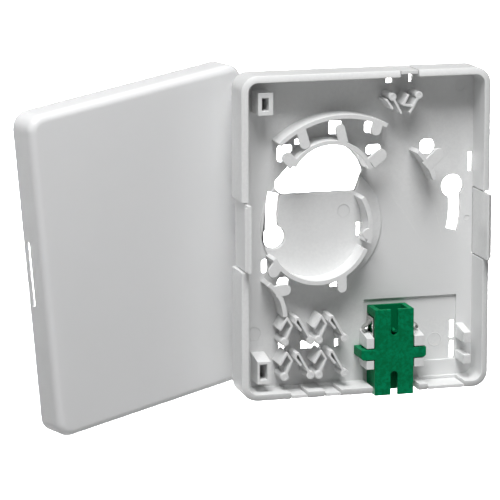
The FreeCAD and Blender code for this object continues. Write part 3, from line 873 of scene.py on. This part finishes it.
@dataclass
class SpringClip:
    """The steel strip bent round the adapter, with a lanced leaf on each narrow side.

    Sizes in millimetres. The strip's middle line is a U: down one side, a bend of radius bend,
    along the back, a bend, and up the other side.
    """

    thickness: float = 0.26
    bend: float = 0.45
    leaf_gap: float = 0.3
    leaf_top: float = 1.2
    leaf_length: float = 3.7
    leaf_reach: float = 2.5
    leaf_width: float = 3.4
    leaf_shift: float = -0.3
    leaf_lift: float = 0.15
    leaf_taper: float = 0.18
    leaf_curl: float = 0.62
    edge_radius: float = 0.05
    across: int = 20

    def path(self, low: np.ndarray, high: np.ndarray) -> np.ndarray:
        """Middle line of the U as (x, y) rows, from the left front end to the right front end.

        Args:
            low: lowest corner of the clip's box.
            high: highest corner.

        Returns:
            Points along the line.
        """
        half = self.thickness / 2.0
        x0, x1, back = low[0] + half, high[0] - half, high[1] - half
        turn = np.linspace(0.0, np.pi / 2.0, 8)
        side = np.linspace(low[1], back - self.bend, 13)
        left = np.stack([np.full(13, x0), side], axis=1)
        corner_left = np.stack(
            [x0 + self.bend * (1 - np.cos(turn)), back - self.bend * (1 - np.sin(turn))], axis=1
        )
        right = left[::-1] * (-1, 1) + (x0 + x1, 0)
        corner_right = corner_left[::-1] * (-1, 1) + (x0 + x1, 0)
        return np.vstack([left, corner_left[1:], corner_right[:-1], right])

    def strip(self, low: np.ndarray, high: np.ndarray) -> tuple:
        """The U-shaped strip with a window in each side where the leaf was lanced out."""
        line = self.path(low, high)
        heights = np.linspace(low[2], high[2], self.across)
        rows = len(line)
        points = np.zeros((rows, self.across, 3))
        points[:, :, :2] = line[:, None, :]
        points[:, :, 2] = heights[None, :]
        faces = grid_faces(rows, self.across)
        centre = points.reshape(-1, 3)[faces].mean(axis=1)
        middle = (low[1] + high[1]) / 2.0 + self.leaf_shift
        on_side = np.abs(centre[:, 0] - (low[0] + high[0]) / 2.0) > (high[0] - low[0]) / 2.0 - self.bend * 0.6
        in_width = np.abs(centre[:, 1] - middle) < self.leaf_width / 2.0 + self.leaf_gap
        top = high[2] - self.leaf_top
        in_height = (centre[:, 2] < top) & (centre[:, 2] > top - self.leaf_length - self.leaf_gap)
        return points.reshape(-1, 3), faces[~(on_side & in_width & in_height)]

    def leaf(self, low: np.ndarray, high: np.ndarray, side: int) -> tuple:
        """One leaf: x = face + side * reach * sin(pi s curl)^2, z falls with s, edges narrow slightly.

        Args:
            low: lowest corner of the clip's box.
            high: highest corner.
            side: -1 for the left side, 1 for the right.

        Returns:
            Points and quads.
        """
        s = np.linspace(0.0, 1.0, 18)
        face = (low[0] + self.thickness / 2.0) if side < 0 else (high[0] - self.thickness / 2.0)
        x = face + side * self.leaf_reach * np.sin(np.pi * s * self.leaf_curl) ** 2
        z = high[2] - self.leaf_top + self.leaf_lift - s * self.leaf_length
        half = self.leaf_width / 2.0 * (1.0 - self.leaf_taper * s)
        middle = (low[1] + high[1]) / 2.0 + self.leaf_shift
        across = np.linspace(-1.0, 1.0, 7)
        points = np.stack(
            np.broadcast_arrays(x[:, None], middle + half[:, None] * across, z[:, None]), axis=2
        )
        return points.reshape(-1, 3), grid_faces(len(s), len(across))

    def build(self, materials: dict) -> None:
        """Build the clip as one bent sheet with real thickness."""
        low, high = (np.array(corner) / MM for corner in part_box("adapter_spring_clip"))
        parts = [self.strip(low, high), self.leaf(low, high, -1), self.leaf(low, high, 1)]
        mesh = mesh_from("spring_clip_sheet", *joined(parts))
        piece = place("spring_clip_sheet", mesh, "adapter", CLIP_STEEL, materials, ("adapter_spring_clip",))
        thick = piece.modifiers.new("sheet_thickness", "SOLIDIFY")
        thick.thickness = self.thickness * MM
        thick.offset = 0.0
        soft = piece.modifiers.new("sheet_edge", "BEVEL")
        soft.width = self.edge_radius * MM
        soft.segments = 1
        soft.limit_method = "ANGLE"
        soft.angle_limit = math.radians(50.0)


@dataclass
class SplitSleeve:
    """The ceramic sleeve: a tube with a lengthwise slit and rounded ends.

    The wall's section is an open ring; it shrinks at both ends by a quarter-round lip.
    """

    slit: float = 0.5
    lip: float = 0.18
    wall: float = 0.49
    steps: int = 64

    def build(self, materials: dict) -> None:
        """Carry the open ring along Z and close its slit and ends."""
        low, high = (np.array(corner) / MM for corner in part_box("alignment_sleeve"))
        outer = (high[0] - low[0]) / 2.0
        inner = outer - self.wall
        centre = (low + high) / 2.0
        gap = self.slit / 2.0 / outer
        angle = np.linspace(gap, 2.0 * np.pi - gap, self.steps)
        turn = np.linspace(0.0, np.pi / 2.0, 5)
        ends = self.lip * (1.0 - np.sin(turn))
        inset = self.lip * (1 - np.cos(turn))
        z = np.concatenate([low[2] + inset, high[2] - inset[::-1]])
        shrink = np.concatenate([ends, ends[::-1]])
        ring_outer = outer - shrink
        radius = np.concatenate([ring_outer, np.full(len(z), inner)])
        height = np.concatenate([z, z[::-1]])
        points = np.stack(
            np.broadcast_arrays(
                centre[0] + radius * np.cos(angle)[:, None],
                centre[1] + radius * np.sin(angle)[:, None],
                height,
            ),
            axis=2,
        ).reshape(-1, 3)
        count = len(radius)
        faces = grid_faces(self.steps, count, False, True).tolist()
        faces.append(list(range(count)))
        faces.append(list(range((self.steps - 1) * count, self.steps * count))[::-1])
        mesh = finish_mesh(recalculated(mesh_from("split_sleeve", points, faces)))
        place("split_sleeve", mesh, "adapter", SLEEVE_CERAMIC, materials, ("alignment_sleeve",))


@dataclass
class Adapter:
    """The green fibre adapter with its inner parts and steel clip."""

    radius: float = 0.2
    key_pin_radius: float = 0.72
    key_pin_length: float = 1.6
    key_pin_drop: float = 7.2
    key_pin_inset: float = 0.5

    def build(self, materials: dict) -> None:
        """Build housing, latches, key pin, sleeve and clip."""
        for half in ("inner", "outer"):
            piece = MouldedPiece(f"adapter_housing_{half}", "adapter", ADAPTER_GREEN, self.radius)
            piece.split_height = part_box("adapter_housing_inner")[0].z
            piece.build(materials)
            MouldedPiece(f"adapter_latch_{half}", "adapter", LATCH_GREEN, 0.1).build(materials)
        self.key_pin(materials)
        SplitSleeve().build(materials)
        SpringClip().build(materials)

    def key_pin(self, materials: dict) -> None:
        """The small round pin at the closed end of the upper keyway."""
        low, high = (np.array(corner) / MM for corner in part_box("adapter_housing_inner"))
        sleeve_low, sleeve_high = (np.array(corner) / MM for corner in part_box("alignment_sleeve"))
        middle = (sleeve_low + sleeve_high) / 2.0
        points, faces = dome(self.key_pin_radius, self.key_pin_length)
        foot = low[1] + self.key_pin_length + self.key_pin_inset
        place_at = (middle[0], foot, high[2] - self.key_pin_drop)
        mesh = finish_mesh(recalculated(mesh_from("key_pin", points + place_at, faces)))
        place("key_pin", mesh, "adapter", ADAPTER_GREEN, materials)


@dataclass
class Cover:
    """The press-fit cover."""

    radius: float = 0.25

    def build(self, materials: dict) -> None:
        """Build the cover."""
        MouldedPiece("front_cover", "cover", COVER_WHITE, self.radius, 3).build(materials)


# --------------------------------------------------------------------------- studio


@dataclass(frozen=True)
class Lamp:
    """A square soft light: place and aim in metres, power in watts, spread in degrees."""

    name: str
    place: tuple
    aim: tuple
    size: float
    power: float
    spread: float

    def build(self) -> None:
        """Create the light, turned to its aim."""
        data = bpy.data.lights.new(self.name, "AREA")
        data.shape = "SQUARE"
        data.size = self.size
        data.energy = self.power
        data.spread = math.radians(self.spread)
        lamp = bpy.data.objects.new(self.name, data)
        way = np.array(self.aim) - np.array(self.place)
        lamp.rotation_mode = "QUATERNION"
        lamp.location = self.place
        lamp.rotation_quaternion = Vector(way).to_track_quat("-Z", "Y")
        bpy.context.scene.collection.objects.link(lamp)


@dataclass
class Studio:
    """Pale floor, soft lights and the camera."""

    floor_drop: float = 0.2
    floor_half: float = 6.0
    floor_colour: tuple = (0.6, 0.6, 0.6, 1.0)
    lamps: tuple = (
        Lamp("overhead_key", (-0.19, -0.48, 0.92), (-0.02, 0.0, 0.0), 0.55, 14.0, 180.0),
        Lamp("floor_wash", (0.0, 2.3, 2.2), (0.0, 2.3, 0.0), 2.6, 300.0, 50.0),
    )
    world_strength: float = 0.06
    yaw: float = 15.44
    pitch: float = 11.2
    roll: float = -0.1
    target: tuple = (-0.0355, 0.0, -0.0054)
    distance: float = 1.008
    lens: float = 226.1
    sensor: float = 36.0
    clip: tuple = (0.05, 30.0)

    def build(self) -> None:
        """Set up floor, lights, world and camera."""
        low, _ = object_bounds()
        self.floor(low.z - self.floor_drop)
        self.light()
        self.camera()

    def floor(self, height: float) -> None:
        """A plain pale floor far larger than the view.

        Args:
            height: its height in metres.
        """
        mesh = bpy.data.meshes.new("studio_floor")
        half = self.floor_half
        corners = [(-half, -half, height), (half, -half, height), (half, half, height), (-half, half, height)]
        mesh.from_pydata(corners, [], [(0, 1, 2, 3)])
        material = bpy.data.materials.new("studio_floor")
        material.use_nodes = True
        shader = material.node_tree.nodes["Principled BSDF"]
        shader.inputs["Base Color"].default_value = self.floor_colour
        shader.inputs["Roughness"].default_value = 0.9
        mesh.materials.append(material)
        floor = bpy.data.objects.new("studio_floor", mesh)
        bpy.context.scene.collection.objects.link(floor)
        floor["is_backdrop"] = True

    def light(self) -> None:
        """A soft key light above and in front, a wash over the floor behind, and a dim pale world."""
        for lamp in self.lamps:
            lamp.build()
        world = bpy.data.worlds.new("studio_world")
        world.use_nodes = True
        background = world.node_tree.nodes["Background"]
        background.inputs["Color"].default_value = (1.0, 1.0, 1.0, 1.0)
        background.inputs["Strength"].default_value = self.world_strength
        bpy.context.scene.world = world
        bpy.context.scene.view_settings.view_transform = "Standard"

    def camera(self) -> None:
        """A long lens at the viewing angle: back = rotate(-Y) by yaw about Z, then raised by pitch."""
        yaw, pitch, roll = (math.radians(a) for a in (self.yaw, self.pitch, self.roll))
        back = np.array([-math.sin(yaw) * math.cos(pitch), -math.cos(yaw) * math.cos(pitch), math.sin(pitch)])
        side = np.cross((0.0, 0.0, 1.0), back)
        side = side / np.linalg.norm(side)
        up = np.cross(back, side)
        right = side * math.cos(roll) + up * math.sin(roll)
        up = np.cross(back, right)
        matrix = np.eye(4)
        matrix[:3, 0], matrix[:3, 1], matrix[:3, 2] = right, up, back
        matrix[:3, 3] = np.array(self.target) + back * self.distance
        data = bpy.data.cameras.new("studio_camera")
        data.lens = self.lens
        data.sensor_width = self.sensor
        data.clip_start, data.clip_end = self.clip
        camera = bpy.data.objects.new("studio_camera", data)
        camera.matrix_world = Matrix(matrix.tolist())
        bpy.context.scene.collection.objects.link(camera)
        bpy.context.scene.camera = camera


def main() -> None:
    """Build the sub-assemblies in order, then the studio."""
    logging.basicConfig(level=logging.INFO, format="%(name)s: %(message)s")
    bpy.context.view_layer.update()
    effects = Effects()
    finishes = (TRAY_WHITE, COVER_WHITE, ADAPTER_GREEN, LATCH_GREEN, SLEEVE_CERAMIC, CLIP_STEEL)
    materials = {finish.name: finish.build(effects) for finish in finishes}
    for part in (Tray(), SnapTabs(), BreakOuts(), Adapter(), Cover()):
        part.build(materials)
    Studio().build()


if __name__ == "__main__":
    main()
